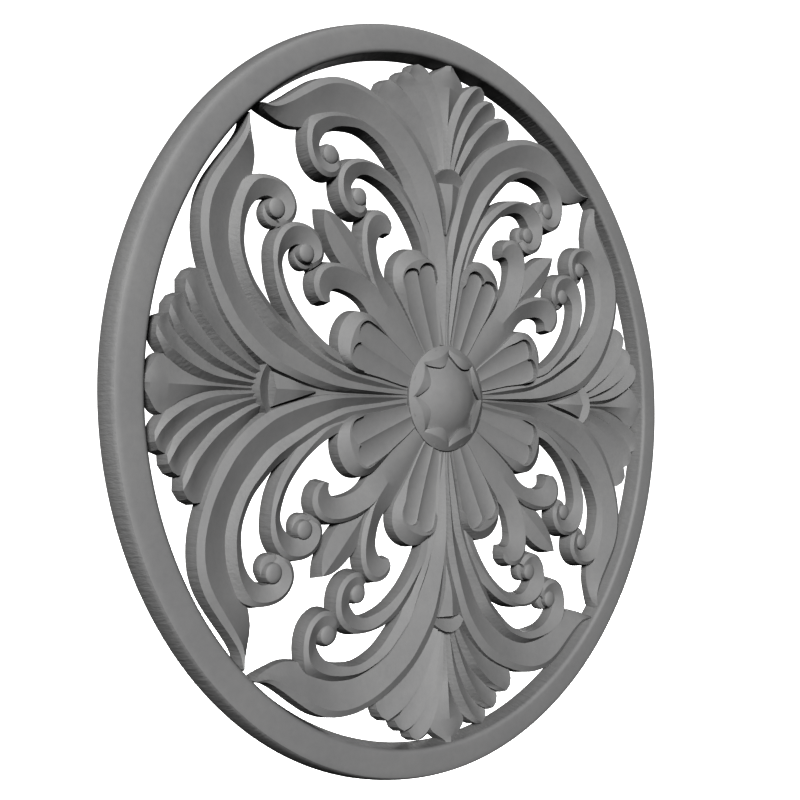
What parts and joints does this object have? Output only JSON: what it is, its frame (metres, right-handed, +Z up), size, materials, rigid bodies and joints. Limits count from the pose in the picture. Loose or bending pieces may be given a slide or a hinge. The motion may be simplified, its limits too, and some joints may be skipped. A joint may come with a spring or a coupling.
{
  "type": "carved rosette",
  "caption": "Round openwork carved rosette: a plain ring around fluted petals, palmettes, acanthus leaves and scrolls, with a flat back that is fixed to a wall, ceiling or panel.",
  "frame": {"origin": "middle of the flat back, on the plane of the wall", "axes": "-Y out of the carved face, +Z up along the middle of a palmette, +X to the right as seen from the front"},
  "size_m": [0.5, 0.0146, 0.5],
  "materials": {
    "grey_primer": "matt grey primer over carved board, with fine cutter marks on the sides"
  },
  "bodies": {
    "root": {"rosette": "grey_primer"}
  },
  "joints": []
}
